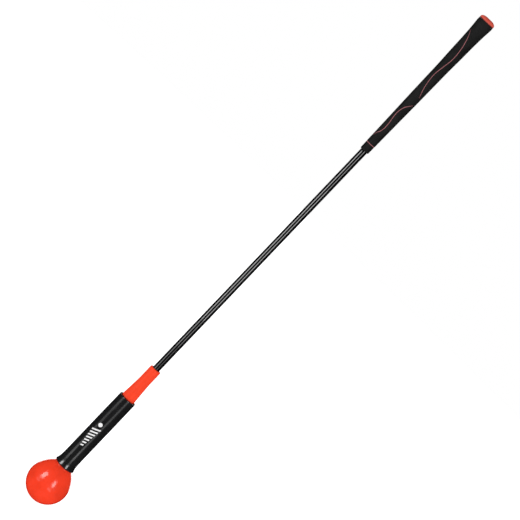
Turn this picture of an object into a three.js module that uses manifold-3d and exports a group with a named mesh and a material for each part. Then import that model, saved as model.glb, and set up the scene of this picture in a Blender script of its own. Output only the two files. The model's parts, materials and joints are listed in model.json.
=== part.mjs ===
// A swing trainer stick: a ball and a weighted sleeve on a whippy fibreglass rod with a golf grip.
// Millimetres, +Z up along the stick. The origin is the lowest point of the ball.
// The rod is one piece of fibreglass. Here its free length is a chain of short lengths, joined by
// bending points that turn in two planes by turns, so that the chain bends as the rod does.

import * as THREE from 'three';
import { mergeVertices } from 'three/addons/utils/BufferGeometryUtils.js';
import Module from 'manifold-3d';

// ---- Driving dimensions ----

const GAP = 0.3;                    // clearance left between pieces that touch

const ROD_RADIUS = 6.0;
const ROD_LOW_Z = 28.0;             // lower end, in the ball's socket
const ROD_HIGH_Z = 1000.0;          // upper end, under the butt cap
const ROD_END_CHAMFER = 0.8;

const BEND_COUNT = 8;               // bending points along the free rod
const BEND_FACE_SLOPE = 4.5;        // degrees that each facing end falls back, to leave room to bend

const BALL_RADIUS = 34.8;
const BALL_SKIN = 3.0;
const SHOULDER_ARC = 60.0;          // radius of the flatter arc between the ball and its neck
const SHOULDER_START = 22.0;        // degrees above the ball's equator where that arc begins
const NECK_RADIUS = 16.2;
const SPIGOT_TOP_Z = 84.0;          // top of the ball's spigot inside the sleeve
const SPIGOT_CHAMFER = 0.8;

const SOCKET_RADIUS = 8.5;
const SOCKET_FLOOR = 2.7;
const SOCKET_TOP_Z = 64.0;
const SOCKET_RIB_RADIUS = 10.0;
const SOCKET_RIB_HEIGHT = 3.0;
const SOCKET_RIB_ZS = [34, 44, 54];

const SLEEVE_RADIUS = 15.0;
const SLEEVE_BORE = 13.0;
const SLEEVE_LOW_Z = 71.4;
const SLEEVE_HIGH_Z = 217.2;
const SLEEVE_EDGE = 0.8;
const LIP_FOOT_RADIUS = 16.2;       // bell mouth at the sleeve's lower end, from its foot
const LIP_FOOT_EDGE = 0.4;
const LIP_RADIUS = 17.7;
const LIP_LOW_Z = 74.6;             // the bell mouth is widest between these heights
const LIP_HIGH_Z = 75.2;
const FLARE_HIGH_Z = 93.0;
const FLARE_FALL = 4.6;             // height over which the flare loses two thirds of its width
const SLEEVE_FLANGE = 8.0;          // closed top of the sleeve, around the ferrule's spigot
const SLEEVE_FLANGE_BORE = 10.3;

const WEIGHT_LENGTH = 100.0;
const DAMPER_THICKNESS = 3.0;
const LOWER_BUSH_LENGTH = 7.7;
const PIN_RADIUS = 2.0;
const PIN_LENGTH = 25.0;

const FERRULE_BASE_RADIUS = 11.8;
const FERRULE_RADIUS = 9.5;
const FERRULE_TAPER_TOP_Z = 257.3;
const FERRULE_TOP_Z = 280.7;
const FERRULE_EDGE = 1.6;
const TAPER_POWER = 1.2;            // above 1, so the taper is slightly hollow

const GRIP_LOW_Z = 744.2;
const GRIP_HIGH_Z = 1008.9;
const GRIP_MOUTH_RADIUS = 7.65;
const GRIP_COLLAR_RADIUS = 7.8;     // plain collar below the ring groove
const RING_LOW_Z = 757.4;
const RING_HIGH_Z = 758.6;
const RING_RADIUS = 7.45;           // floor of the ring groove
const GRIP_OUTLINE = [              // radius and height, from the ring groove to the butt
  [8.0, 758.9], [8.3, 785], [8.9, 826], [9.35, 855], [9.75, 890],
  [10.0, 915], [10.9, 945], [11.4, 970], [12.3, 990], [13.4, 1004],
];
const GRIP_BUTT_RADIUS = 13.3;

const TAPE_THICKNESS = 0.3;
const TAPE_LOW_Z = 762.0;
const TAPE_HIGH_Z = 889.6;
const COUNTERWEIGHT_RADIUS = 7.6;
const COUNTERWEIGHT_LOW_Z = 891.0;

const CAP_RIM_RADIUS = 13.2;
const CAP_RIM_TOP_Z = 1011.6;
const CAP_TOP_Z = 1016.0;
const CAP_FLAT_RADIUS = 4.0;        // flat land around the vent
const CAP_EDGE = 0.4;
const CAP_SPIGOT_LOW_Z = 1002.0;
const VENT_RADIUS = 1.5;

const ROUND_STEPS = 36;             // sides of the larger turned pieces
const ROD_STEPS = 24;               // sides of the rod and the pieces around it
const PIN_STEPS = 16;

// ---- Sizes that follow from the driving dimensions ----

const ROD_BORE = ROD_RADIUS + GAP;  // hole of every piece that slides onto the rod
const BALL_CENTRE_Z = BALL_RADIUS;
const CORE_RADIUS = BALL_RADIUS - BALL_SKIN - GAP;
const SKIN_BORE = BALL_RADIUS - BALL_SKIN;
const INNER_RADIUS = SLEEVE_BORE - GAP;
const WEIGHT_LOW_Z = SPIGOT_TOP_Z + LOWER_BUSH_LENGTH + DAMPER_THICKNESS + 3 * GAP;
const WEIGHT_HIGH_Z = WEIGHT_LOW_Z + WEIGHT_LENGTH;
const PIN_Z = (WEIGHT_LOW_Z + WEIGHT_HIGH_Z) / 2;
const FLANGE_LOW_Z = SLEEVE_HIGH_Z - SLEEVE_FLANGE;
const BUTT_BORE = COUNTERWEIGHT_RADIUS + GAP;
const BEND_CELL = (GRIP_LOW_Z - FERRULE_TOP_Z) / BEND_COUNT;
const BEND_FACE_DROP = ROD_RADIUS * Math.tan(THREE.MathUtils.degToRad(BEND_FACE_SLOPE));

// ---- Colours and finishes ----

const ORANGE = { color: 0xf8412a, roughness: 0.22, metalness: 0 };
const BLACK_GLOSS = { color: 0x161617, roughness: 0.22, metalness: 0 };
const ROD_BLACK = { color: 0x1b1b1c, roughness: 0.18, metalness: 0 };
const GRIP_RUBBER = { color: 0x2a2a29, roughness: 0.75, metalness: 0 };
const CAP_RED = { color: 0xd55f4b, roughness: 0.5, metalness: 0 };
const STEEL = { color: 0x8d9094, roughness: 0.35, metalness: 1 };
const NYLON = { color: 0xd9d5c8, roughness: 0.5, metalness: 0 };
const DAMPER_RUBBER = { color: 0x303030, roughness: 0.8, metalness: 0 };
const CORE_RUBBER = { color: 0x4a4440, roughness: 0.8, metalness: 0 };
const TAPE_PAPER = { color: 0xc9bb93, roughness: 0.85, metalness: 0 };

// ---- Shapes ----

/** Points on an ellipse in the radius-height plane, from one angle to another, in degrees. */
function arc(centreR, centreZ, radiusR, radiusZ, fromAngle, toAngle, steps) {
  const points = [];
  for (let i = 0; i <= steps; i += 1) {
    const angle = THREE.MathUtils.degToRad(fromAngle + ((toAngle - fromAngle) * i) / steps);
    points.push([centreR + radiusR * Math.cos(angle), centreZ + radiusZ * Math.sin(angle)]);
  }
  return points;
}

/** Points of the curve radiusAt(z), from one height to another. */
function curve(radiusAt, fromZ, toZ, steps) {
  const points = [];
  for (let i = 0; i <= steps; i += 1) {
    const z = fromZ + ((toZ - fromZ) * i) / steps;
    points.push([radiusAt(z), z]);
  }
  return points;
}

/** A solid turned about Z. The outline runs anticlockwise and starts and ends on the axis. */
function turned(outline, steps = ROUND_STEPS) {
  const points = outline.map(([r, z]) => new THREE.Vector2(Math.max(r, 0), z));
  const geometry = new THREE.LatheGeometry(points, steps);
  geometry.rotateX(Math.PI / 2);
  return geometry;
}

/** A turned solid with a hole all the way through, so its outline closes on itself. */
function turnedRing(outline, steps = ROUND_STEPS) {
  return turned([...outline, outline[0]], steps);
}

/** A plain tube. */
function tube(innerRadius, outerRadius, lowZ, highZ, steps = ROD_STEPS) {
  return turnedRing([
    [innerRadius, lowZ], [outerRadius, lowZ], [outerRadius, highZ], [innerRadius, highZ],
  ], steps);
}

const wasm = await Module();
wasm.setup();

/** The manifold-3d solid of a closed geometry. */
function solidOf(geometry) {
  const bare = geometry.clone();
  bare.deleteAttribute('normal');
  bare.deleteAttribute('uv');
  const merged = mergeVertices(bare, 1e-4);
  const index = merged.index.array;
  const kept = [];
  for (let i = 0; i < index.length; i += 3) {
    const [a, b, c] = [index[i], index[i + 1], index[i + 2]];
    if (a !== b && b !== c && c !== a) kept.push(a, b, c);
  }
  return new wasm.Manifold(new wasm.Mesh({
    numProp: 3,
    vertProperties: new Float32Array(merged.attributes.position.array),
    triVerts: new Uint32Array(kept),
  }));
}

/** One geometry with another cut out of it. */
function cut(geometry, tool) {
  const mesh = solidOf(geometry).subtract(solidOf(tool)).getMesh();
  const result = new THREE.BufferGeometry();
  result.setAttribute('position', new THREE.BufferAttribute(mesh.vertProperties, 3));
  result.setIndex(new THREE.BufferAttribute(mesh.triVerts, 1));
  result.computeVertexNormals();
  return result;
}

/** A round pin along Y at the height of the weight's cross hole. */
function crossPin(radius, length) {
  return new THREE.CylinderGeometry(radius, radius, length, PIN_STEPS).translate(0, 0, PIN_Z);
}

// ---- The rod ----

/** Height of a bending point. Number 0 is the one nearest the grip. */
function bendZ(number) {
  return GRIP_LOW_Z - (number + 0.5) * BEND_CELL;
}

/** The short length of rod between two bending points, with a shallow cone at each end. */
function rodLink(lowBendZ, highBendZ) {
  const lowZ = lowBendZ + GAP / 2;
  const highZ = highBendZ - GAP / 2;
  return turned([
    [0, lowZ], [ROD_RADIUS, lowZ + BEND_FACE_DROP],
    [ROD_RADIUS, highZ - BEND_FACE_DROP], [0, highZ],
  ], ROD_STEPS);
}

/** The rod above its first bending point, inside the grip. */
function rodButt() {
  const lowZ = bendZ(0) + GAP / 2;
  return turned([
    [0, lowZ], [ROD_RADIUS, lowZ + BEND_FACE_DROP],
    [ROD_RADIUS, ROD_HIGH_Z - ROD_END_CHAMFER], [ROD_RADIUS - ROD_END_CHAMFER, ROD_HIGH_Z],
    [0, ROD_HIGH_Z],
  ], ROD_STEPS);
}

/** The rod below its last bending point, through the head, with the cross hole of the pin. */
function rodTip() {
  const highZ = bendZ(BEND_COUNT - 1) - GAP / 2;
  const plain = turned([
    [0, ROD_LOW_Z], [ROD_RADIUS - ROD_END_CHAMFER, ROD_LOW_Z],
    [ROD_RADIUS, ROD_LOW_Z + ROD_END_CHAMFER], [ROD_RADIUS, highZ - BEND_FACE_DROP], [0, highZ],
  ], ROD_STEPS);
  return cut(plain, crossPin(PIN_RADIUS + GAP, 2 * INNER_RADIUS + 2));
}

// ---- The head: ball, sleeve, weight and ferrule ----

/** The ball's moulded skin, with a flatter shoulder, a neck and a spigot into the sleeve. */
function ballSkin() {
  const start = THREE.MathUtils.degToRad(SHOULDER_START);
  const shoulderR = (BALL_RADIUS - SHOULDER_ARC) * Math.cos(start);
  const shoulderZ = BALL_CENTRE_Z + (BALL_RADIUS - SHOULDER_ARC) * Math.sin(start);
  const shoulderEnd = THREE.MathUtils.radToDeg(Math.acos((NECK_RADIUS - shoulderR) / SHOULDER_ARC));
  const mouthAngle = THREE.MathUtils.radToDeg(Math.acos(ROD_BORE / SKIN_BORE));
  return turned([
    ...arc(0, BALL_CENTRE_Z, BALL_RADIUS, BALL_RADIUS, -90, 0, 10),
    ...arc(0, BALL_CENTRE_Z, BALL_RADIUS, BALL_RADIUS, 0, SHOULDER_START, 3).slice(1),
    ...arc(shoulderR, shoulderZ, SHOULDER_ARC, SHOULDER_ARC, SHOULDER_START, shoulderEnd, 5).slice(1),
    [NECK_RADIUS, SLEEVE_LOW_Z - GAP],
    [INNER_RADIUS, SLEEVE_LOW_Z - GAP], [INNER_RADIUS, SPIGOT_TOP_Z - SPIGOT_CHAMFER],
    [INNER_RADIUS - SPIGOT_CHAMFER, SPIGOT_TOP_Z], [ROD_BORE, SPIGOT_TOP_Z],
    ...arc(0, BALL_CENTRE_Z, SKIN_BORE, SKIN_BORE, mouthAngle, -90, 14),
  ]);
}

/** The outline of the socket's ribbed side, from its foot to its top, grown by a clearance. */
function socketSide(lowZ, highZ, grown) {
  const side = [[SOCKET_RADIUS + grown, lowZ]];
  for (const z of SOCKET_RIB_ZS) {
    side.push([SOCKET_RADIUS + grown, z - grown], [SOCKET_RIB_RADIUS + grown, z - grown]);
    side.push([SOCKET_RIB_RADIUS + grown, z + SOCKET_RIB_HEIGHT + grown]);
    side.push([SOCKET_RADIUS + grown, z + SOCKET_RIB_HEIGHT + grown]);
  }
  side.push([SOCKET_RADIUS + grown, highZ]);
  return side;
}

/** The ribbed cup that holds the rod's lower end in the ball. */
function rodSocket() {
  const floorZ = ROD_LOW_Z - GAP;
  return turned([
    [0, floorZ - SOCKET_FLOOR], ...socketSide(floorZ - SOCKET_FLOOR, SOCKET_TOP_Z, 0),
    [ROD_BORE, SOCKET_TOP_Z], [ROD_BORE, floorZ], [0, floorZ],
  ], ROD_STEPS);
}

/** The ball's dense core, moulded around the socket. */
function ballCore() {
  const mouthRadius = SOCKET_RADIUS + GAP;
  const mouthAngle = THREE.MathUtils.radToDeg(Math.acos(mouthRadius / CORE_RADIUS));
  const mouthZ = BALL_CENTRE_Z + Math.sqrt(CORE_RADIUS ** 2 - mouthRadius ** 2);
  const bottomZ = ROD_LOW_Z - SOCKET_FLOOR - 2 * GAP;
  const bore = socketSide(bottomZ, mouthZ, GAP).reverse().slice(1);
  return turned([
    ...arc(0, BALL_CENTRE_Z, CORE_RADIUS, CORE_RADIUS, -90, mouthAngle, 14), ...bore, [0, bottomZ],
  ], ROD_STEPS);
}

/** The black sleeve: a long tube with a bell mouth below and a closed top. */
function weightSleeve() {
  const flareRadius = (z) =>
    SLEEVE_RADIUS + (LIP_RADIUS - SLEEVE_RADIUS) * Math.exp((LIP_HIGH_Z - z) / FLARE_FALL);
  return turnedRing([
    [SLEEVE_BORE, SLEEVE_LOW_Z], [LIP_FOOT_RADIUS - LIP_FOOT_EDGE, SLEEVE_LOW_Z],
    [LIP_FOOT_RADIUS, SLEEVE_LOW_Z + LIP_FOOT_EDGE], [LIP_RADIUS, LIP_LOW_Z],
    ...curve(flareRadius, LIP_HIGH_Z, FLARE_HIGH_Z, 7),
    ...arc(SLEEVE_RADIUS - SLEEVE_EDGE, SLEEVE_HIGH_Z - SLEEVE_EDGE, SLEEVE_EDGE, SLEEVE_EDGE, 0, 90, 2),
    [SLEEVE_FLANGE_BORE, SLEEVE_HIGH_Z], [SLEEVE_FLANGE_BORE, FLANGE_LOW_Z],
    [SLEEVE_BORE, FLANGE_LOW_Z],
  ]);
}

/** The steel weight inside the sleeve, pinned to the rod. */
function steelWeight() {
  const plain = tube(ROD_BORE, INNER_RADIUS, WEIGHT_LOW_Z, WEIGHT_HIGH_Z);
  return cut(plain, crossPin(PIN_RADIUS + GAP, 2 * INNER_RADIUS + 2));
}

/** The tapered ferrule that closes the sleeve, with its spigot in the sleeve's top. */
function ferrule() {
  const baseZ = SLEEVE_HIGH_Z + GAP;
  const spigotRadius = SLEEVE_FLANGE_BORE - GAP;
  const taperHeight = FERRULE_TAPER_TOP_Z - baseZ;
  const taperRadius = (z) => FERRULE_RADIUS
    + (FERRULE_BASE_RADIUS - FERRULE_RADIUS) * ((FERRULE_TAPER_TOP_Z - z) / taperHeight) ** TAPER_POWER;
  return turnedRing([
    [ROD_BORE, FLANGE_LOW_Z + GAP], [spigotRadius, FLANGE_LOW_Z + GAP], [spigotRadius, baseZ],
    ...curve(taperRadius, baseZ, FERRULE_TAPER_TOP_Z, 8),
    ...arc(FERRULE_RADIUS - FERRULE_EDGE, FERRULE_TOP_Z - FERRULE_EDGE, FERRULE_EDGE, FERRULE_EDGE, 0, 90, 3),
    [ROD_BORE, FERRULE_TOP_Z],
  ]);
}

// ---- The handle: grip, cap, tape and counterweight ----

/** The rubber grip, with a ring groove near its mouth and a bore in three steps. */
function grip() {
  return turnedRing([
    [ROD_BORE, GRIP_LOW_Z], [GRIP_MOUTH_RADIUS, GRIP_LOW_Z], [GRIP_COLLAR_RADIUS, RING_LOW_Z],
    [RING_RADIUS, RING_LOW_Z], [RING_RADIUS, RING_HIGH_Z], ...GRIP_OUTLINE,
    [GRIP_BUTT_RADIUS, GRIP_HIGH_Z], [BUTT_BORE, GRIP_HIGH_Z],
    [BUTT_BORE, COUNTERWEIGHT_LOW_Z - GAP],
    [ROD_BORE + TAPE_THICKNESS + GAP, COUNTERWEIGHT_LOW_Z - GAP],
    [ROD_BORE + TAPE_THICKNESS + GAP, TAPE_LOW_Z - GAP], [ROD_BORE, TAPE_LOW_Z - GAP],
  ]);
}

/** The domed cap that plugs the butt end of the grip, with its vent hole. */
function buttCap() {
  const baseZ = GRIP_HIGH_Z + GAP;
  return turnedRing([
    [VENT_RADIUS, CAP_SPIGOT_LOW_Z], [COUNTERWEIGHT_RADIUS - CAP_EDGE, CAP_SPIGOT_LOW_Z],
    [COUNTERWEIGHT_RADIUS, CAP_SPIGOT_LOW_Z + CAP_EDGE], [COUNTERWEIGHT_RADIUS, baseZ],
    [CAP_RIM_RADIUS - CAP_EDGE, baseZ], [CAP_RIM_RADIUS, baseZ + CAP_EDGE],
    ...arc(CAP_FLAT_RADIUS, CAP_RIM_TOP_Z, CAP_RIM_RADIUS - CAP_FLAT_RADIUS, CAP_TOP_Z - CAP_RIM_TOP_Z, 0, 90, 7),
    [VENT_RADIUS, CAP_TOP_Z],
  ]);
}

// ---- Assembly ----

const stick = new THREE.Group();

/** Adds one named piece with a material of its own. */
function add(name, geometry, finish) {
  const mesh = new THREE.Mesh(geometry, new THREE.MeshStandardMaterial(finish));
  mesh.name = name;
  stick.add(mesh);
}

const lowerDamperZ = SPIGOT_TOP_Z + LOWER_BUSH_LENGTH + 2 * GAP;
const upperDamperZ = WEIGHT_HIGH_Z + GAP;
const upperBushZ = upperDamperZ + DAMPER_THICKNESS + GAP;

add('ball_skin', ballSkin(), ORANGE);
add('ball_core', ballCore(), CORE_RUBBER);
add('rod_socket', rodSocket(), STEEL);
add('weight_sleeve', weightSleeve(), BLACK_GLOSS);
add('lower_bush', tube(ROD_BORE, INNER_RADIUS, SPIGOT_TOP_Z + GAP, lowerDamperZ - GAP), NYLON);
add('lower_damper', tube(ROD_BORE, INNER_RADIUS, lowerDamperZ, WEIGHT_LOW_Z - GAP), DAMPER_RUBBER);
add('steel_weight', steelWeight(), STEEL);
add('weight_pin', crossPin(PIN_RADIUS, PIN_LENGTH), STEEL);
add('upper_damper', tube(ROD_BORE, INNER_RADIUS, upperDamperZ, upperBushZ - GAP), DAMPER_RUBBER);
add('upper_bush', tube(ROD_BORE, INNER_RADIUS, upperBushZ, FLANGE_LOW_Z - GAP), NYLON);
add('ferrule', ferrule(), ORANGE);
add('rod_tip', rodTip(), ROD_BLACK);

for (let i = 1; i < BEND_COUNT; i += 1) {
  const name = `rod_link_${String(i).padStart(2, '0')}`;
  add(name, rodLink(bendZ(i), bendZ(i - 1)), ROD_BLACK);
}

add('rod_butt', rodButt(), ROD_BLACK);
add('grip_tape', tube(ROD_BORE, ROD_BORE + TAPE_THICKNESS, TAPE_LOW_Z, TAPE_HIGH_Z), TAPE_PAPER);
add('counterweight', tube(ROD_BORE, COUNTERWEIGHT_RADIUS, COUNTERWEIGHT_LOW_Z, ROD_HIGH_Z), STEEL);
add('grip', grip(), GRIP_RUBBER);
add('butt_cap', buttCap(), CAP_RED);

export default stick;
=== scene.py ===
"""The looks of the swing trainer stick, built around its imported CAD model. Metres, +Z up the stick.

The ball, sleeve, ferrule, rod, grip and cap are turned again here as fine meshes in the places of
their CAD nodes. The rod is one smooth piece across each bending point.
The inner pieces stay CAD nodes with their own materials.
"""

import json
import math

import bpy
import numpy as np
from mathutils import Matrix, Vector


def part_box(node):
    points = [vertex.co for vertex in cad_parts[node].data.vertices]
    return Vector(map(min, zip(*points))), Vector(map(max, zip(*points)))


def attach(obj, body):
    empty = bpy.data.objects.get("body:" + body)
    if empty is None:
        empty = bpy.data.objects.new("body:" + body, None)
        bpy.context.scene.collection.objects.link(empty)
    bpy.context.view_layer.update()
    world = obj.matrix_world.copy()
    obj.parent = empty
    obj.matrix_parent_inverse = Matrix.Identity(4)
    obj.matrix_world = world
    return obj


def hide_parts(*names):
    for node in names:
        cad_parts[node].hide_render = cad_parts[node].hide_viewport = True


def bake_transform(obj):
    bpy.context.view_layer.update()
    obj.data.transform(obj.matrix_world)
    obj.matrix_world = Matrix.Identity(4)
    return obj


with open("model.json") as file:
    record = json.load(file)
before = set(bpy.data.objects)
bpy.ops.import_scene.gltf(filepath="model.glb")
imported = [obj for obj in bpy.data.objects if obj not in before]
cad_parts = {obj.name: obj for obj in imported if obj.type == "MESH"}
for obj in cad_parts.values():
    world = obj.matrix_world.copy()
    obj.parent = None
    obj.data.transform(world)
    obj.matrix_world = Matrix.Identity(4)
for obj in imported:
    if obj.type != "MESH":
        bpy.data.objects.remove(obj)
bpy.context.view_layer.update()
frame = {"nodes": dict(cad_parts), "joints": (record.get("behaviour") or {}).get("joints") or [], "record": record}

MM = 0.001

# ---- Places and sizes that the frame gives ----


def low_z(node):
    """Height of a CAD node's lowest point."""
    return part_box(node)[0].z


def high_z(node):
    """Height of a CAD node's highest point."""
    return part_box(node)[1].z


def radius_of(node):
    """Radius of a round CAD node at its widest."""
    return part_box(node)[1].x


BALL_RADIUS = radius_of("ball_skin")
BALL_TOP_Z = high_z("ball_skin")
SLEEVE_LOW_Z = low_z("weight_sleeve")
SLEEVE_HIGH_Z = high_z("weight_sleeve")
LIP_RADIUS = radius_of("weight_sleeve")
FERRULE_LOW_Z = low_z("ferrule")
FERRULE_HIGH_Z = high_z("ferrule")
FERRULE_BASE_RADIUS = radius_of("ferrule")
ROD_RADIUS = radius_of("rod_butt")
ROD_LOW_Z = low_z("rod_tip")
ROD_HIGH_Z = high_z("rod_butt")
GRIP_LOW_Z = low_z("grip")
GRIP_HIGH_Z = high_z("grip")
GRIP_BUTT_RADIUS = radius_of("grip")
CAP_LOW_Z = low_z("butt_cap")
CAP_HIGH_Z = high_z("butt_cap")
CAP_RADIUS = radius_of("butt_cap")
INNER_RADIUS = radius_of("steel_weight")     # spigots and bushes inside the sleeve
PLUG_RADIUS = radius_of("counterweight")     # plug of the cap inside the grip

# ---- Sizes that the looks add ----

GAP = 0.3 * MM                      # clearance between pieces that touch
SEAM = 0.05 * MM                    # the same, where it shows from outside
ROD_BORE = ROD_RADIUS + GAP

BALL_SKIN = 3.0 * MM
SHOULDER_ARC = 60.0 * MM            # radius of the flatter arc between the ball and its neck
SHOULDER_START = 22.0               # degrees above the ball's equator where that arc begins
NECK_RADIUS = 16.2 * MM
PARTING_HEIGHT = 0.07 * MM          # mould line round the ball, through the stick's axis
PARTING_WIDTH = 0.5 * MM
SPHERE_STEPS = 80                   # points along the ball's outline, up to its shoulder
ARC_STEPS = 24                      # the same, along its shoulder and over the cap's dome
SKIN_STEPS = 32                     # the same, along the inside of its skin
BALL_SIDES = 192
GATE_RADIUS = 2.4 * MM              # mark of the mould's gate under the ball
GATE_DEPTH = 0.18 * MM
GATE_EDGE_Z = 0.08 * MM             # height of the ball's surface at the mark's edge
GATE_OUTSIDE_Z = 0.15 * MM          # the same, just outside it
NECK_EDGE = 0.2 * MM                # an EDGE here and below is the radius of a rounded edge
SPIGOT_EDGE = 0.8 * MM

SLEEVE_RADIUS = 15.0 * MM
SLEEVE_BORE = 13.0 * MM
SLEEVE_FLANGE = 8.0 * MM
SLEEVE_FLANGE_BORE = 10.3 * MM
LIP_FOOT_RADIUS = 16.2 * MM
LIP_HEIGHT = 1.9 * MM               # from the foot to the widest place of the bell mouth
FLARE_RADIUS = 17.25 * MM           # where the lip's rim ends and its flare starts
FLARE_LOW_Z = SLEEVE_LOW_Z + 3.5 * MM
FLARE_HEIGHT = 20.0 * MM
FLARE_FALL = 4.2 * MM               # height over which the flare falls to about a third
FLARE_STEPS = 36
SLEEVE_ROW = 6.0 * MM               # height of one row of the sleeve's mesh above the flare
SLEEVE_SHOULDER = 1.0 * MM          # how far below the sleeve's top its last row is
LIP_FOOT_EDGE = 0.4 * MM
LIP_EDGE = 0.5 * MM
SLEEVE_TOP_EDGE = 0.8 * MM
FLANGE_EDGE = 0.2 * MM

FERRULE_RADIUS = 9.5 * MM
FERRULE_TAPER_TOP_Z = 257.3 * MM
TAPER_POWER = 1.2                   # above 1, the taper is hollow
TAPER_STEPS = 24
TAPER_START = 0.8 * MM              # how far above the ferrule's foot its taper starts
FERRULE_FOOT_EDGE = 0.9 * MM
FERRULE_SPIGOT_EDGE = 0.3 * MM
FERRULE_END_EDGE = 1.6 * MM
FERRULE_BORE_EDGE = 0.15 * MM

ROD_ROW = 1.3 * MM                  # height of one row of the rod's mesh
ROD_SIDES = 64

MOUTH_RADIUS = 7.65 * MM
COLLAR_RADIUS = 7.8 * MM
RING_LOW_Z = 757.4 * MM
RING_HIGH_Z = 758.6 * MM
RING_FLOOR = 7.45 * MM
RING_MARGIN = 0.1 * MM              # how far the ring's paint stays inside its groove
RING_EDGE = 0.1 * MM
MOUTH_EDGE = 0.7 * MM
COLLAR_EDGE = 0.2 * MM
BUTT_EDGE = 0.3 * MM
BUTT_INSET = 0.1 * MM               # how much narrower the grip's end is than its widest place
TAPE_ROOM = 0.6 * MM                # how much wider than the rod's bore the grip is at its tape
GRIP_OUTLINE = [                    # radius and height in millimetres, from the ring to the butt
    (8.0, 758.9), (8.3, 785), (8.9, 826), (9.35, 855), (9.75, 890), (10.0, 915),
    (10.9, 945), (11.4, 970), (12.3, 990), (13.4, 1004), (13.3, 1008.9),
]
GRIP_CURVE_STEPS = 120
GRIP_ROW = 0.5 * MM                 # height of one row of the grip's mesh
GRIP_SIDES = 168
LINE_GROOVE_DEPTH = 0.35 * MM
LINE_GROOVE_REACH = 1.15 * MM       # half the width of the groove that a painted line lies in
LINE_WIDTH = 1.2 * MM
LINE_DEPTH = 0.12 * MM              # how far its section's zero lies below the rubber
# The paint's section: share of half its width, and height in millimetres.
LINE_SECTION = [(-1, -0.2), (-0.6, 0.02), (0, 0.06), (0.6, 0.02), (1, -0.2), (0, -0.3)]
LINE_STEPS = 130
LINE_TAPER = 0.24                   # share of a line's length over which each end comes to a point
LINE_TAPER_POWER = 0.7
LINE_TIP = 0.05                     # share of the taper that is left at a line's very end
DIMPLE_DEPTH = 0.28 * MM
DIMPLES_ROUND = 22
DIMPLE_PITCH = 4.2 * MM             # along the grip
DIMPLE_SHAPE = (0.45, 0.95)         # lattice values where a dimple starts and where it is deepest
DIMPLE_CLEARANCE = 1.2 * MM         # distance from a groove over which the dimples reach full depth
DIMPLES_START_Z = (763 * MM, 769 * MM)          # heights between which the dimples fade in
DIMPLES_STOP_Z = (986 * MM, 994 * MM)           # heights between which they fade out
WAIST_Z = 851.5 * MM                # a plain band between the two curved lines
WAIST_REACH = (4 * MM, 9 * MM)      # from its middle, to where the dimples start and are full
# The two curved lines, each from its lower end to its upper end: degrees round the grip from the
# front towards +X, and height in millimetres.
CURVED_LINES = [
    [(-64, 771.5), (-54, 774.5), (-39, 778.5), (-20, 783), (-9, 791), (-13, 802), (-25, 813.5),
     (-25, 823), (-8, 833), (20, 839.5), (38, 842.5), (50, 844.5)],
    [(36, 859), (26, 862.5), (4, 873), (-13, 888), (-17, 901.5), (-6, 915), (8, 931), (8.5, 943.5),
     (-2, 959), (-20, 972.5), (-42, 982), (-57, 987)],
]

CAP_RIM_HEIGHT = 2.4 * MM
CAP_FLAT_RADIUS = 4.0 * MM
VENT_RADIUS = 1.5 * MM
PLUG_EDGE = 0.4 * MM
CAP_FOOT_EDGE = 0.5 * MM
VENT_EDGE = 0.3 * MM

PRINT_LIFT = 0.05 * MM
PRINT_SLANT = 0.45                  # how far a bar leans along the sleeve for each unit round it
PRINT_LOW_Z = 117.0 * MM
PRINT_BAR_PITCH = 5.4 * MM
PRINT_BAR_WIDTH = 2.5 * MM
PRINT_BAR_LENGTHS = [4.5, 6.0, 7.5, 9.0, 10.5, 12.0, 13.5]      # millimetres round the sleeve
PRINT_BAR_STEPS = 12
PRINT_CENTRE = -2.5 * MM            # round the sleeve from the front
PRINT_DOT_Z = 160.5 * MM
PRINT_DOT_RADIUS = 3.4 * MM
PRINT_DOT_TURN = 80                 # degrees each way that its outline goes, short of its two ends
PRINT_DOT_STEPS = 24

# ---- Camera, stage and light ----

STICK_TILT = math.radians(46.38)    # angle of the stick above the picture's lower edge
CAMERA_SENSOR = 36.0                # millimetres across
CAMERA_LENS = 171.9                 # millimetres
CAMERA_PLACE = Vector((0.0, -3.75, 1.0))
CAMERA_AIM = Vector((0.0, 0.0, 0.514))
FLOOR_RADIUS = 6.0
FLOOR_Z = -0.0005
FLOOR_SIDES = 96
SOFT_LIGHT_BELOW = 1.04             # brightness of the light all round, from straight below
SOFT_LIGHT_ABOVE = 0.72             # the same, from straight above
DIM_SURROUNDINGS = (0.004, 0.004, 0.0042)
# Panels of light: name, azimuth, low and high edge, distance, width, brightness, what they light.
LIGHTS = [
    ("key_left", -44, 0.24, 0.68, 0.9, 0.34, 6.8, "glossy"),
    ("key_right", 32, 0.24, 0.58, 0.9, 0.27, 6.8, "glossy"),
    ("upper_right", 32, 0.58, 0.7, 0.9, 0.25, 4.6, "glossy"),
    ("middle_left", -44, 0.17, 0.24, 0.9, 0.34, 4.4, "glossy"),
    ("middle_right", 32, 0.17, 0.24, 0.9, 0.24, 3.6, "glossy"),
    ("lower_left", -44, 0.09, 0.17, 0.9, 0.34, 3.0, "glossy"),
    ("lower_right", 32, 0.09, 0.17, 0.9, 0.24, 1.6, "glossy"),
    ("floor_left", -48, -0.22, -0.1, 0.9, 0.36, 1.6, "glossy"),
    ("floor_right", 29, -0.22, -0.1, 0.9, 0.32, 1.9, "glossy"),
    ("sill_left", -48, -0.1, 0.04, 0.9, 0.36, 0.4, "glossy"),
    ("sill_right", 29, -0.1, 0.04, 0.9, 0.32, 0.6, "glossy"),
    ("back_left", -165, -0.1, 1.1, 1.4, 0.5, 2.0, "glossy"),
    ("back_right", 165, -0.1, 1.1, 1.4, 0.5, 2.0, "glossy"),
    ("fill_left", -45, -0.3, 1.3, 2.2, 1.6, 1.1, "diffuse"),
    ("fill_right", 35, -0.3, 1.3, 2.2, 1.6, 1.1, "diffuse"),
]


# ---- Outlines ----


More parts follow.
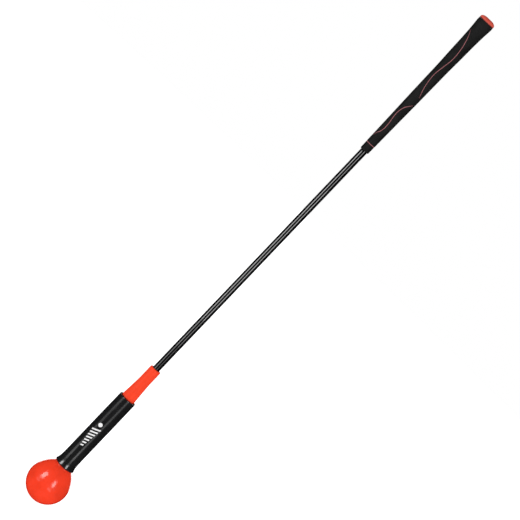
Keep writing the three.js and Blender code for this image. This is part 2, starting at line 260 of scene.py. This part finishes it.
def arc(centre_r, centre_z, radius_r, radius_z, start, stop, steps):
    """Points of an ellipse in the radius-height plane, from one angle to another in degrees."""
    angles = np.radians(np.linspace(start, stop, steps + 1))
    return [(centre_r + radius_r * math.cos(a), centre_z + radius_z * math.sin(a)) for a in angles]


def filleted(corners, steps=5):
    """An outline through corners given as (radius, height) or (radius, height, fillet)."""
    outline = []
    for i, corner in enumerate(corners):
        here = Vector(corner[:2])
        fillet = corner[2] if len(corner) > 2 else 0.0
        if not fillet:
            outline.append(tuple(here))
            continue
        back = (Vector(corners[i - 1][:2]) - here).normalized()
        ahead = (Vector(corners[(i + 1) % len(corners)][:2]) - here).normalized()
        half = back.angle(ahead) / 2
        reach = fillet / math.tan(half)
        centre = here + (back + ahead).normalized() * (fillet / math.sin(half))
        first, last = here + back * reach - centre, here + ahead * reach - centre
        for k in range(steps + 1):
            outline.append(tuple(centre + first.slerp(last, k / steps) * fillet))
    return outline


def along(outline, pitch):
    """The outline with points added so that none are further apart than pitch."""
    dense = []
    for (r0, z0), (r1, z1) in zip(outline, outline[1:]):
        count = max(1, math.ceil(math.hypot(r1 - r0, z1 - z0) / pitch))
        dense += [(r0 + (r1 - r0) * k / count, z0 + (z1 - z0) * k / count) for k in range(count)]
    return dense + [outline[-1]]


def smooth_curve(points, steps):
    """A Catmull-Rom curve through points in a plane, as an array of steps + 1 rows."""
    p = np.array([points[0], *points, points[-1]], float)
    spans = len(points) - 1
    made = []
    for k in range(steps + 1):
        at = min(k / steps * spans, spans - 1e-9)
        i, t = int(at), at - int(at)
        a, b, c, d = p[i:i + 4]
        made.append(0.5 * (2 * b + (c - a) * t + (2 * a - 5 * b + 4 * c - d) * t ** 2
                           + (3 * b - a - 3 * c + d) * t ** 3))
    return np.array(made)


# ---- Meshes ----


def piece(name, vertices, faces, material, sharp=40.0):
    """A smooth-shaded mesh object, with edges sharper than an angle left sharp."""
    mesh = bpy.data.meshes.new(name)
    mesh.from_pydata([tuple(v) for v in vertices], [], faces)
    mesh.validate()
    mesh.shade_smooth()
    mesh.set_sharp_from_angle(angle=math.radians(sharp))
    mesh.materials.append(material)
    made = bpy.data.objects.new(name, mesh)
    bpy.context.scene.collection.objects.link(made)
    return made


def turned(name, outline, material, sides=128, ring=False, relief=None):
    """A solid turned about Z. Its outline runs anticlockwise from axis to axis, or closes if ring.

    relief(angle, radius, height) gives how far each point of the surface stands out."""
    angles = np.arange(sides) * 2 * math.pi / sides
    vertices, rows = [], []
    for r, z in outline:
        if r < 1e-7:
            rows.append([len(vertices)] * sides)
            vertices.append((0.0, 0.0, z))
            continue
        radii = np.full(sides, r)
        if relief:
            radii = radii + relief(angles, radii, np.full(sides, z))
        rows.append(list(range(len(vertices), len(vertices) + sides)))
        vertices += zip(radii * np.sin(angles), -radii * np.cos(angles), np.full(sides, z))
    if ring:
        rows.append(rows[0])
    faces = []
    for low, high in zip(rows, rows[1:]):
        for k in range(sides):
            n = (k + 1) % sides
            corners = [low[k], low[n], high[n], high[k]]
            faces.append([c for j, c in enumerate(corners) if c != corners[j - 1]])
    return piece(name, vertices, faces, material)


def swept(name, paths, material):
    """Closed strips through rows of section points, one list of sections for each strip."""
    vertices, faces = [], []
    for sections in paths:
        base, count = len(vertices), len(sections[0])
        for section in sections:
            vertices += list(section)
        for i in range(len(sections) - 1):
            for k in range(count):
                n = (k + 1) % count
                a, b = base + i * count, base + (i + 1) * count
                faces.append([a + k, a + n, b + n, b + k])
        last = base + (len(sections) - 1) * count
        faces.append([base + k for k in reversed(range(count))])
        faces.append([last + k for k in range(count)])
    return piece(name, vertices, faces, material)


# ---- Materials ----


class Shader:
    """A material's node tree, with short ways to add a node and join it up."""

    def __init__(self, name, roughness, metallic=0.0, **settings):
        self.material = bpy.data.materials.new(name)
        self.material.use_nodes = True
        self.tree = self.material.node_tree
        self.surface = self.tree.nodes["Principled BSDF"]
        self.surface.inputs["Roughness"].default_value = roughness
        self.surface.inputs["Metallic"].default_value = metallic
        for key, value in settings.items():
            self.surface.inputs[key.replace("_", " ")].default_value = value
        self.place = self.add("TexCoord").outputs["Object"]

    def add(self, kind, inputs=None, **settings):
        node = self.tree.nodes.new("ShaderNode" + kind)
        for key, value in settings.items():
            setattr(node, key, value)
        for key, value in (inputs or {}).items():
            if isinstance(value, bpy.types.NodeSocket):
                self.tree.links.new(value, node.inputs[key])
            else:
                node.inputs[key].default_value = value
        return node

    def stretched(self, scale):
        """The object's coordinates, scaled along each axis."""
        return self.add("Mapping", {"Vector": self.place, "Scale": scale}).outputs[0]

    def noise(self, scale, detail=3.0, vector=None):
        """Noise from about 0.3 to 0.7, with scale features to a metre."""
        inputs = {"Vector": vector or self.place, "Scale": scale, "Detail": detail}
        return self.add("TexNoise", inputs).outputs[0]

    def ranged(self, value, low, high, start=0.3, stop=0.7):
        """A value stretched from start..stop to low..high, held at its ends."""
        inputs = {"Value": value, "From Min": start, "From Max": stop, "To Min": low, "To Max": high}
        return self.add("MapRange", inputs).outputs[0]

    def times(self, a, b):
        return self.add("Math", {0: a, 1: b}, operation="MULTIPLY").outputs[0]

    def height_band(self, low, high, fade):
        """1 between two heights on the stick, falling to 0 over fade."""
        z = self.add("SeparateXYZ", {0: self.place}).outputs["Z"]
        rising = self.ranged(z, 0.0, 1.0, low - fade, low)
        falling = self.ranged(z, 1.0, 0.0, high, high + fade)
        return self.times(rising, falling)

    def colours(self, value, stops):
        """A colour ramp over a value: stops are (position, (red, green, blue))."""
        ramp = self.add("ValToRGB", {0: value})
        elements = ramp.color_ramp.elements
        while len(elements) < len(stops):
            elements.new(0.5)
        for element, (position, colour) in zip(elements, stops):
            element.position = position
            element.color = (*colour, 1.0)
        return ramp.outputs["Color"]

    def mixed(self, factor, a, b):
        """Colour a, or b where the factor is 1. Each is a socket or (red, green, blue)."""
        inputs = {0: factor}
        for key, value in ((1, a), (2, b)):
            inputs[key] = value if isinstance(value, bpy.types.NodeSocket) else (*value, 1.0)
        return self.add("MixRGB", inputs).outputs[0]

    def colour(self, socket):
        self.tree.links.new(socket, self.surface.inputs["Base Color"])

    def roughness(self, socket):
        self.tree.links.new(socket, self.surface.inputs["Roughness"])

    def bump(self, *layers):
        """Bumps laid one on another: each layer is (height socket, depth in metres)."""
        normal = None
        for height, depth in layers:
            inputs = {"Height": height, "Distance": depth, "Strength": 1.0}
            if normal:
                inputs["Normal"] = normal
            normal = self.add("Bump", inputs).outputs[0]
        self.tree.links.new(normal, self.surface.inputs["Normal"])


def moulded_orange(name, base, roughness, grain_depth, shine):
    """Orange plastic: faint flow marks, smudged gloss and the fine grain of its mould."""
    s = Shader(name, roughness, Specular_IOR_Level=shine)
    flow = s.noise(38.0, 4.0)
    deep = tuple(c * 0.86 for c in base)
    pale = tuple(min(1.0, c * 1.06 + 0.004) for c in base)
    s.colour(s.colours(flow, [(0.3, deep), (0.5, base), (0.72, pale)]))
    smudges = s.noise(70.0, 5.0)
    s.roughness(s.ranged(smudges, roughness * 0.88, roughness * 1.16))
    s.bump((s.noise(420.0, 2.0), grain_depth), (s.noise(2600.0, 2.0), grain_depth * 0.4))
    return s.material


def sleeve_black():
    """Black moulded plastic: light handling scratches along it and worn edges at both ends."""
    s = Shader("sleeve_black", 0.19, Specular_IOR_Level=1.0)
    streaks = s.noise(900.0, 4.0, s.stretched((1.0, 1.0, 0.05)))
    cloud = s.noise(55.0, 5.0)
    black = s.colours(cloud, [(0.3, (0.0075, 0.0075, 0.008)), (0.7, (0.0125, 0.0125, 0.013))])
    lip_wear = s.height_band(SLEEVE_LOW_Z - 1 * MM, SLEEVE_LOW_Z + 2 * MM, 1.5 * MM)
    top_wear = s.height_band(SLEEVE_HIGH_Z - 0.8 * MM, SLEEVE_HIGH_Z + 1 * MM, 0.8 * MM)
    rubbed = s.ranged(s.noise(600.0, 5.0), 0.0, 0.5, 0.5, 0.75)
    worn = s.times(s.add("Math", {0: lip_wear, 1: top_wear}, operation="ADD").outputs[0], rubbed)
    s.colour(s.mixed(worn, black, (0.028, 0.028, 0.029)))
    s.roughness(s.ranged(streaks, 0.15, 0.24))
    s.bump((s.noise(1500.0, 2.0), 0.003 * MM), (streaks, 0.003 * MM))
    return s.material


def rod_black():
    """Lacquered fibreglass: glass strands run along it under a clear coat."""
    s = Shader("rod_black", 0.5, Specular_IOR_Level=0.02, Coat_Weight=1.0, Coat_Roughness=0.025,
               Coat_IOR=1.7)
    strands = s.noise(1500.0, 3.0, s.stretched((1.0, 1.0, 0.015)))
    s.colour(s.colours(strands, [(0.35, (0.002, 0.002, 0.0022)), (0.65, (0.0065, 0.0065, 0.007))]))
    s.roughness(s.ranged(strands, 0.4, 0.6))
    s.bump((strands, 0.004 * MM))
    return s.material


def grip_rubber():
    """Black rubber: matt and dusty in its dimples, smoother where hands rub it."""
    s = Shader("grip_rubber", 0.7, Specular_IOR_Level=0.2)
    cloud = s.noise(45.0, 5.0)
    rubber = s.colours(cloud, [(0.3, (0.0055, 0.0056, 0.0056)), (0.7, (0.0108, 0.0109, 0.0107))])
    dust = s.ranged(s.noise(1800.0, 4.0), 0.0, 0.35, 0.52, 0.8)
    s.colour(s.mixed(dust, rubber, (0.03, 0.03, 0.029)))
    s.roughness(s.ranged(s.noise(110.0, 4.0), 0.56, 0.82))
    s.bump((s.noise(2600.0, 3.0), 0.03 * MM), (s.noise(700.0, 2.0), 0.03 * MM))
    return s.material


def line_paint():
    """Dull red paint in the grip's grooves, a little uneven and greyed by wear."""
    s = Shader("line_paint", 0.6, Specular_IOR_Level=0.3)
    uneven = s.noise(500.0, 4.0)
    s.colour(s.colours(uneven, [(0.3, (0.3, 0.1, 0.11)), (0.7, (0.42, 0.145, 0.16))]))
    s.roughness(s.ranged(uneven, 0.5, 0.72))
    s.bump((s.noise(2400.0, 2.0), 0.02 * MM))
    return s.material


def cap_rubber():
    """Orange-red rubber of the butt cap, satin, with painted shade darkening the joint at its foot."""
    s = Shader("cap_rubber", 0.5, Specular_IOR_Level=0.4)
    cloud = s.noise(120.0, 4.0)
    clean = s.colours(cloud, [(0.3, (0.6, 0.066, 0.038)), (0.7, (0.72, 0.094, 0.056))])
    # Painted shade: a darker band at the cap's foot stands in for the shade in the joint with the grip.
    joint = s.height_band(GRIP_HIGH_Z, GRIP_HIGH_Z + 0.8 * MM, 1.0 * MM)
    s.colour(s.mixed(joint, clean, (0.13, 0.012, 0.008)))
    s.roughness(s.ranged(s.noise(260.0, 4.0), 0.42, 0.58))
    s.bump((s.noise(2200.0, 3.0), 0.02 * MM))
    return s.material


def print_ink():
    """White printed ink, thin and slightly broken where the sleeve's grain shows through."""
    s = Shader("print_ink", 0.5)
    thin = s.noise(2600.0, 4.0)
    s.colour(s.colours(thin, [(0.28, (0.55, 0.55, 0.56)), (0.42, (0.86, 0.86, 0.86))]))
    s.roughness(s.ranged(thin, 0.4, 0.6))
    s.bump((thin, 0.01 * MM))
    return s.material


def turned_steel():
    """Bare turned steel, with tool marks round the stick's axis."""
    s = Shader("turned_steel", 0.32, metallic=1.0)
    marks = s.noise(60.0, 3.0, s.stretched((1.0, 1.0, 60.0)))
    s.colour(s.colours(marks, [(0.3, (0.36, 0.37, 0.39)), (0.7, (0.5, 0.51, 0.53))]))
    s.roughness(s.ranged(marks, 0.24, 0.42))
    s.bump((marks, 0.01 * MM))
    return s.material


def soft_matt(name, dark, pale, scale, depth):
    """A matt material mottled between two colours: nylon, tape or rubber inside the stick."""
    s = Shader(name, 0.7)
    mottle = s.noise(scale, 5.0)
    s.colour(s.colours(mottle, [(0.3, dark), (0.7, pale)]))
    s.roughness(s.ranged(mottle, 0.55, 0.8))
    s.bump((s.noise(scale * 6.0, 3.0), depth))
    return s.material


# ---- Head ----


def make_ball(material):
    """The ball's skin: sphere, flatter shoulder, neck, and the spigot inside the sleeve."""
    centre = BALL_RADIUS
    bore = BALL_RADIUS - BALL_SKIN
    start = math.radians(SHOULDER_START)
    shoulder_r = (BALL_RADIUS - SHOULDER_ARC) * math.cos(start)
    shoulder_z = centre + (BALL_RADIUS - SHOULDER_ARC) * math.sin(start)
    shoulder_end = math.degrees(math.acos((NECK_RADIUS - shoulder_r) / SHOULDER_ARC))
    neck_top = SLEEVE_LOW_Z - SEAM
    mouth = math.degrees(math.acos(ROD_BORE / bore))
    gate = math.degrees(GATE_RADIUS / BALL_RADIUS)
    gate_mark = [
        (0, 0), (GATE_RADIUS * 0.7, GATE_EDGE_Z), (GATE_RADIUS, GATE_DEPTH + GATE_EDGE_Z),
        (GATE_RADIUS * 1.3, GATE_OUTSIDE_Z),
    ]
    sphere_start = -90 + 1.6 * gate
    sphere = arc(0, centre, BALL_RADIUS, BALL_RADIUS, sphere_start, SHOULDER_START, SPHERE_STEPS)
    shoulder = arc(shoulder_r, shoulder_z, SHOULDER_ARC, SHOULDER_ARC,
                   SHOULDER_START, shoulder_end, ARC_STEPS)
    neck = filleted([
        shoulder[-1], (NECK_RADIUS, neck_top, NECK_EDGE), (INNER_RADIUS, neck_top),
        (INNER_RADIUS, BALL_TOP_Z, SPIGOT_EDGE), (ROD_BORE, BALL_TOP_Z),
    ])[1:]
    inside = arc(0, centre, bore, bore, mouth, -90, SKIN_STEPS)

    def relief(angle, radius, height):
        """The mould's parting line, a thin ridge in the plane through the axis and X."""
        off = np.abs(np.cos(angle)) * radius
        ridge = PARTING_HEIGHT * np.exp(-((off / PARTING_WIDTH) ** 2))
        outside = np.hypot(radius, height - centre) > bore + BALL_SKIN / 2
        return ridge * outside * (height < shoulder[-1][1])

    outline = [*gate_mark, *sphere, *shoulder[1:], *neck, *inside]
    return turned("ball_shell", outline, material, sides=BALL_SIDES, relief=relief)


def make_sleeve(material):
    """The black sleeve, with its bell mouth below and its closed top above."""
    flange_low = SLEEVE_HIGH_Z - SLEEVE_FLANGE
    heights = np.linspace(FLARE_LOW_Z, FLARE_LOW_Z + FLARE_HEIGHT, FLARE_STEPS)
    fall = np.exp(-(heights - FLARE_LOW_Z) / FLARE_FALL)
    flare = [(SLEEVE_RADIUS + (FLARE_RADIUS - SLEEVE_RADIUS) * f, z) for f, z in zip(fall, heights)]
    lip = filleted([
        (SLEEVE_BORE, SLEEVE_LOW_Z), (LIP_FOOT_RADIUS, SLEEVE_LOW_Z, LIP_FOOT_EDGE),
        (LIP_RADIUS, SLEEVE_LOW_Z + LIP_HEIGHT, LIP_EDGE), flare[0],
    ])[:-1]
    body = along([flare[-1], (SLEEVE_RADIUS, SLEEVE_HIGH_Z - SLEEVE_SHOULDER)], SLEEVE_ROW)
    top = filleted([
        body[-1], (SLEEVE_RADIUS, SLEEVE_HIGH_Z, SLEEVE_TOP_EDGE),
        (SLEEVE_FLANGE_BORE, SLEEVE_HIGH_Z, FLANGE_EDGE), (SLEEVE_FLANGE_BORE, flange_low),
        (SLEEVE_BORE, flange_low),
    ])[1:]
    return turned("sleeve_shell", [*lip, *flare, *body[1:], *top], material, ring=True)


def make_ferrule(material):
    """The ferrule: a slightly hollow taper, then a straight collar with a rounded end."""
    taper_height = FERRULE_TAPER_TOP_Z - FERRULE_LOW_Z
    base_z = SLEEVE_HIGH_Z + SEAM
    spigot = SLEEVE_FLANGE_BORE - GAP
    heights = np.linspace(base_z + TAPER_START, FERRULE_TAPER_TOP_Z, TAPER_STEPS)
    share = ((FERRULE_TAPER_TOP_Z - heights) / (FERRULE_TAPER_TOP_Z - base_z)) ** TAPER_POWER
    taper = [(FERRULE_RADIUS + (FERRULE_BASE_RADIUS - FERRULE_RADIUS) * s, z)
             for s, z in zip(share, heights)]
    foot = filleted([
        (ROD_BORE, FERRULE_LOW_Z), (spigot, FERRULE_LOW_Z, FERRULE_SPIGOT_EDGE), (spigot, base_z),
        (FERRULE_BASE_RADIUS, base_z, FERRULE_FOOT_EDGE), taper[2],
    ])[:-1]
    end = filleted([
        taper[-1], (FERRULE_RADIUS, FERRULE_HIGH_Z, FERRULE_END_EDGE),
        (ROD_BORE, FERRULE_HIGH_Z, FERRULE_BORE_EDGE), (ROD_BORE, FERRULE_HIGH_Z - taper_height),
    ])[1:]
    return turned("ferrule_shell", [*foot, *taper[2:], *end], material, ring=True)


def print_point(across, z, lift):
    """A point on the sleeve, or lift above it, at a distance across round it from the front."""
    angle = across / SLEEVE_RADIUS
    r = SLEEVE_RADIUS + lift
    return (r * math.sin(angle), -r * math.cos(angle), z)


def print_plate(edge_low, edge_high):
    """A closed strip of ink between two edges, which are lists of (across, height)."""
    sections = []
    for (a0, z0), (a1, z1) in zip(edge_low, edge_high):
        sections.append([print_point(a0, z0, -PRINT_LIFT), print_point(a1, z1, -PRINT_LIFT),
                         print_point(a1, z1, PRINT_LIFT), print_point(a0, z0, PRINT_LIFT)])
    return sections


def make_print(material):
    """A plain graphic on the sleeve's front: slanted bars that grow in length, and a dot."""
    plates = []
    for i, length in enumerate(PRINT_BAR_LENGTHS):
        across = PRINT_CENTRE + np.linspace(-0.5, 0.5, PRINT_BAR_STEPS + 1) * length * MM
        low = PRINT_LOW_Z + i * PRINT_BAR_PITCH + (across - PRINT_CENTRE) * PRINT_SLANT
        plates.append(print_plate(list(zip(across, low)), list(zip(across, low + PRINT_BAR_WIDTH))))
    turn = np.radians(np.linspace(-PRINT_DOT_TURN, PRINT_DOT_TURN, PRINT_DOT_STEPS + 1))
    across = PRINT_CENTRE + PRINT_DOT_RADIUS * np.sin(turn)
    reach = PRINT_DOT_RADIUS * np.cos(turn)
    plates.append(print_plate(list(zip(across, PRINT_DOT_Z - reach)),
                              list(zip(across, PRINT_DOT_Z + reach))))
    return swept("sleeve_print", plates, material)


# ---- Rod ----


def rod_cuts():
    """Heights where one piece of the rod meets the next: the middle of each link, and the ends of
    the free rod."""
    cuts = [GRIP_LOW_Z]
    for node in sorted(n for n in frame["nodes"] if n.startswith("rod_link_")):
        cuts.append((low_z(node) + high_z(node)) / 2)
    return [*cuts, FERRULE_HIGH_Z]


def frame_nodes(body):
    """Names of the CAD nodes that ride on a body."""
    return frame["record"]["behaviour"]["bodies"][body]


def make_rod(material):
    """The rod, one piece for each bending point, each reaching from one body to the next."""
    cuts = rod_cuts()
    joints = sorted(frame["joints"], key=lambda j: -j["pos_m"][2])
    ends = {0: (ROD_HIGH_Z, cuts[1]), len(joints) - 1: (cuts[-2], ROD_LOW_Z)}
    for i, joint in enumerate(joints):
        high, low = ends.get(i, (cuts[i], cuts[i + 1]))
        side = along([(ROD_RADIUS, low), (ROD_RADIUS, high)], ROD_ROW)
        made = turned(f"rod_{i:02d}", [(0, low), *side, (0, high)], material, sides=ROD_SIDES)
        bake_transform(made)
        if joint["child"].startswith("link_"):
            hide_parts(*frame_nodes(joint["child"]))
        if i == 0:
            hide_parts("rod_butt")
        if i == len(joints) - 1:
            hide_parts("rod_tip")


# ---- Handle ----


def grip_outer():
    """The grip's outer outline above its ring groove, dense enough for its relief."""
    shape = smooth_curve([(r * MM, z * MM) for r, z in GRIP_OUTLINE], GRIP_CURVE_STEPS)
    rows = np.arange(shape[0, 1], GRIP_HIGH_Z - GRIP_ROW, GRIP_ROW)
    return [(float(r), float(z)) for r, z in zip(np.interp(rows, shape[:, 1], shape[:, 0]), rows)]


def painted_lines():
    """Every painted line as an array of (angle from the front, height), on the front and the back."""
    lines = []
    for points in CURVED_LINES:
        line = smooth_curve(points, LINE_STEPS)
        for turn in (0.0, math.pi):
            lines.append(np.column_stack([np.radians(line[:, 0]) + turn, line[:, 1] * MM]))
    return lines


def line_distance(angle, radius, height, lines):
    """How far points of the grip lie from the nearest of its painted lines."""
    nearest = np.full(angle.shape, 1.0)
    for line in lines:
        apart = angle[:, None] - line[None, :, 0]
        apart = (apart + math.pi) % (2 * math.pi) - math.pi
        reach = np.hypot(apart * radius[:, None], height[:, None] - line[None, :, 1])
        nearest = np.minimum(nearest, reach.min(axis=1))
    return nearest


def fade(values, start, stop):
    """0 before start, 1 after stop, smooth between."""
    t = np.clip((values - start) / (stop - start), 0, 1)
    return t * t * (3 - 2 * t)


def grip_relief(angle, radius, height):
    """Grooves for the painted lines, and rows of small dimples between them."""
    if height[0] < RING_HIGH_Z or radius[0] < MOUTH_RADIUS:
        return np.zeros(len(angle))
    distance = line_distance(angle, radius, height, painted_lines())
    groove = 0.5 + 0.5 * np.cos(np.pi * np.clip(distance / LINE_GROOVE_REACH, 0, 1))
    round_it = angle * DIMPLES_ROUND
    up_it = height / DIMPLE_PITCH * 2 * math.pi
    lattice = np.cos((round_it + up_it) / 2) * np.cos((round_it - up_it) / 2)
    dimples = fade(np.abs(lattice), *DIMPLE_SHAPE)
    clear = fade(distance, LINE_GROOVE_REACH, LINE_GROOVE_REACH + DIMPLE_CLEARANCE)
    ends = fade(height, *DIMPLES_START_Z) * (1 - fade(height, *DIMPLES_STOP_Z))
    waist = fade(np.abs(height - WAIST_Z), *WAIST_REACH)
    return -LINE_GROOVE_DEPTH * groove - DIMPLE_DEPTH * dimples * clear * ends * waist


def make_grip(material):
    """The rubber grip: its mouth and ring groove, its waisted flank, and the stepped bore inside."""
    outer = grip_outer()
    butt_radius = GRIP_BUTT_RADIUS - BUTT_INSET
    plug_bore, plug_bore_z = PLUG_RADIUS + GAP, low_z("counterweight")
    tape_bore, tape_bore_z = ROD_BORE + TAPE_ROOM, low_z("grip_tape") - GAP
    mouth = filleted([
        (ROD_BORE, GRIP_LOW_Z), (MOUTH_RADIUS, GRIP_LOW_Z, MOUTH_EDGE),
        (COLLAR_RADIUS, RING_LOW_Z, COLLAR_EDGE), (RING_FLOOR, RING_LOW_Z),
        (RING_FLOOR, RING_HIGH_Z), outer[0],
    ])[:-1]
    end = filleted([
        outer[-1], (butt_radius, GRIP_HIGH_Z, BUTT_EDGE), (plug_bore, GRIP_HIGH_Z),
        (plug_bore, plug_bore_z), (tape_bore, plug_bore_z),
        (tape_bore, tape_bore_z), (ROD_BORE, tape_bore_z),
    ])[1:]
    outline = [*mouth, *outer, *end]
    return turned("grip_sleeve", outline, material, sides=GRIP_SIDES, ring=True, relief=grip_relief)


def make_ring(material):
    """The red ring in the groove near the grip's mouth."""
    low, high = RING_LOW_Z + RING_MARGIN, RING_HIGH_Z - RING_MARGIN
    face = COLLAR_RADIUS - RING_MARGIN
    outline = filleted([
        (RING_FLOOR, low), (face, low, RING_EDGE), (face, high, RING_EDGE), (RING_FLOOR, high),
    ])
    return turned("grip_ring", outline, material, ring=True)


def make_lines(material):
    """The painted lines, each a thin strip in its groove with a pointed end."""
    outer = np.array(grip_outer())
    place = np.linspace(0, 1, LINE_STEPS + 1)
    taper = np.clip(np.minimum(place, 1 - place) / LINE_TAPER, LINE_TIP, 1)
    half_width = LINE_WIDTH / 2 * taper ** LINE_TAPER_POWER
    strips = []
    for line in painted_lines():
        radius = np.interp(line[:, 1], outer[:, 1], outer[:, 0])
        outward = np.column_stack([np.sin(line[:, 0]), -np.cos(line[:, 0]), np.zeros(len(line))])
        centre = outward * radius[:, None]
        centre[:, 2] = line[:, 1]
        ahead = np.gradient(centre, axis=0)
        ahead /= np.linalg.norm(ahead, axis=1)[:, None]
        side = np.cross(outward, ahead)
        strips.append([
            [centre[i] + side[i] * half_width[i] * u + outward[i] * (h * MM - LINE_DEPTH)
             for u, h in reversed(LINE_SECTION)]
            for i in range(len(line))
        ])
    return swept("grip_lines", strips, material)


def make_cap(material):
    """The butt cap: rim, shallow dome, a flat land around the vent, and the plug below."""
    base_z = GRIP_HIGH_Z + SEAM
    rim_z = base_z + CAP_RIM_HEIGHT
    dome = arc(CAP_FLAT_RADIUS, rim_z, CAP_RADIUS - CAP_FLAT_RADIUS, CAP_HIGH_Z - rim_z, 0, 90, ARC_STEPS)
    foot = filleted([
        (VENT_RADIUS, CAP_LOW_Z), (PLUG_RADIUS, CAP_LOW_Z, PLUG_EDGE), (PLUG_RADIUS, base_z),
        (CAP_RADIUS, base_z, CAP_FOOT_EDGE), dome[0],
    ])[:-1]
    vent = filleted([
        dome[-1], (VENT_RADIUS, CAP_HIGH_Z, VENT_EDGE), (VENT_RADIUS, CAP_LOW_Z),
    ])[1:-1]
    return turned("cap_shell", [*foot, *dome, *vent], material, ring=True)


# ---- Stage ----


def make_camera():
    """A camera about level with the stick's upper end, rolled so that the stick lies diagonally."""
    data = bpy.data.cameras.new("camera")
    data.lens = CAMERA_LENS
    data.sensor_width = CAMERA_SENSOR
    data.clip_start, data.clip_end = 0.05, 50.0
    camera = bpy.data.objects.new("camera", data)
    bpy.context.scene.collection.objects.link(camera)
    back = (CAMERA_PLACE - CAMERA_AIM).normalized()
    across = Vector((1, 0, 0))
    along_stick = back.cross(across)
    right = along_stick * math.cos(STICK_TILT) + across * math.sin(STICK_TILT)
    turn = Matrix((right, back.cross(right), back)).transposed()
    camera.matrix_world = Matrix.Translation(CAMERA_PLACE) @ turn.to_4x4()
    bpy.context.scene.camera = camera


def make_light(name, azimuth, low, high, distance, width, brightness, seen_by):
    """A soft panel that faces the stick, between two heights. Azimuth is in degrees from the camera
    towards +X, and a brightness of 1 is as bright as the white behind the stick."""
    data = bpy.data.lights.new(name, "AREA")
    data.shape = "RECTANGLE"
    data.size, data.size_y = width, high - low
    data.energy = brightness * math.pi * width * (high - low)
    height = (low + high) / 2
    panel = bpy.data.objects.new(name, data)
    bpy.context.scene.collection.objects.link(panel)
    a = math.radians(azimuth)
    panel.location = (distance * math.sin(a), -distance * math.cos(a), height)
    target = Vector((0, 0, height))
    panel.rotation_euler = (panel.location - target).to_track_quat("Z", "Y").to_euler()
    panel.visible_camera = False
    panel.visible_diffuse = seen_by == "diffuse"
    panel.visible_glossy = seen_by == "glossy"


def make_world():
    """White behind the stick, soft light on it that is stronger from below than from above, and
    dim surroundings in its reflections."""
    world = bpy.data.worlds.new("studio")
    bpy.context.scene.world = world
    world.use_nodes = True
    world.cycles.sampling_method = "NONE"
    tree = world.node_tree
    background = tree.nodes["Background"]
    path = tree.nodes.new("ShaderNodeLightPath")
    direction = tree.nodes.new("ShaderNodeTexCoord")
    upward = tree.nodes.new("ShaderNodeSeparateXYZ")
    soft = tree.nodes.new("ShaderNodeMapRange")
    soft.inputs["From Min"].default_value = -1.0
    soft.inputs["To Min"].default_value = SOFT_LIGHT_BELOW
    soft.inputs["To Max"].default_value = SOFT_LIGHT_ABOVE
    dim = tree.nodes.new("ShaderNodeMixRGB")
    dim.inputs[2].default_value = (*DIM_SURROUNDINGS, 1)
    shown = tree.nodes.new("ShaderNodeMixRGB")
    shown.inputs[2].default_value = (1, 1, 1, 1)
    tree.links.new(direction.outputs["Generated"], upward.inputs[0])
    tree.links.new(upward.outputs["Z"], soft.inputs["Value"])
    tree.links.new(soft.outputs[0], dim.inputs[1])
    tree.links.new(path.outputs["Is Glossy Ray"], dim.inputs[0])
    tree.links.new(dim.outputs[0], shown.inputs[1])
    tree.links.new(path.outputs["Is Camera Ray"], shown.inputs[0])
    tree.links.new(shown.outputs[0], background.inputs["Color"])


def make_floor():
    """A floor under the ball that glows as white as what is behind the stick, so that it doesn't
    show. It neither lights the stick nor shows in its reflections."""
    s = Shader("floor_paint", 0.9)
    mottle = s.noise(3.0, 2.0)
    s.colour(s.colours(mottle, [(0.3, (0.5, 0.5, 0.5)), (0.7, (0.52, 0.52, 0.52))]))
    s.surface.inputs["Emission Color"].default_value = (1, 1, 1, 1)
    s.surface.inputs["Emission Strength"].default_value = 1.0
    turn = [2 * math.pi * k / FLOOR_SIDES for k in range(FLOOR_SIDES)]
    edge = [(FLOOR_RADIUS * math.cos(a), FLOOR_RADIUS * math.sin(a), FLOOR_Z) for a in turn]
    floor = piece("floor", edge, [list(range(len(edge)))], s.material)
    floor.visible_glossy = False
    floor.visible_diffuse = False


# ---- Scene ----

make_camera()
make_world()
make_floor()
for light in LIGHTS:
    make_light(*light)

orange = moulded_orange("ball_orange", (0.95, 0.047, 0.014), 0.15, 0.0012 * MM, 0.55)
satin_orange = moulded_orange("ferrule_orange", (0.94, 0.051, 0.01), 0.5, 0.012 * MM, 0.15)
steel = turned_steel()
nylon = soft_matt("nylon", (0.62, 0.6, 0.52), (0.74, 0.71, 0.62), 150.0, 0.01 * MM)
inner_rubber = soft_matt("inner_rubber", (0.02, 0.02, 0.02), (0.04, 0.04, 0.04), 300.0, 0.02 * MM)
core_rubber = soft_matt("core_rubber", (0.05, 0.042, 0.036), (0.08, 0.068, 0.06), 200.0, 0.03 * MM)
tape = soft_matt("tape", (0.48, 0.41, 0.24), (0.6, 0.52, 0.32), 400.0, 0.02 * MM)
paint = line_paint()

PIECES = [                          # piece, body, material slot, and the CAD node it stands for
    (make_ball(orange), "head", "ball", "ball_skin"),
    (make_sleeve(sleeve_black()), "head", "sleeve", "weight_sleeve"),
    (make_print(print_ink()), "head", "print", None),
    (make_ferrule(satin_orange), "head", "ferrule", "ferrule"),
    (make_grip(grip_rubber()), "handle", "grip", "grip"),
    (make_ring(paint), "handle", "grip_line", None),
    (make_lines(paint), "handle", "grip_line", None),
    (make_cap(cap_rubber()), "handle", "cap", "butt_cap"),
]
for made, body, slot, node in PIECES:
    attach(made, body)
    if node:
        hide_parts(node)
make_rod(rod_black())

INNER_FINISHES = {
    "steel_weight": steel, "weight_pin": steel, "rod_socket": steel, "counterweight": steel,
    "lower_bush": nylon, "upper_bush": nylon, "lower_damper": inner_rubber,
    "upper_damper": inner_rubber, "ball_core": core_rubber, "grip_tape": tape,
}
for node, finish in INNER_FINISHES.items():
    frame["nodes"][node].data.materials.clear()
    frame["nodes"][node].data.materials.append(finish)

bpy.context.scene.view_settings.view_transform = "Standard"
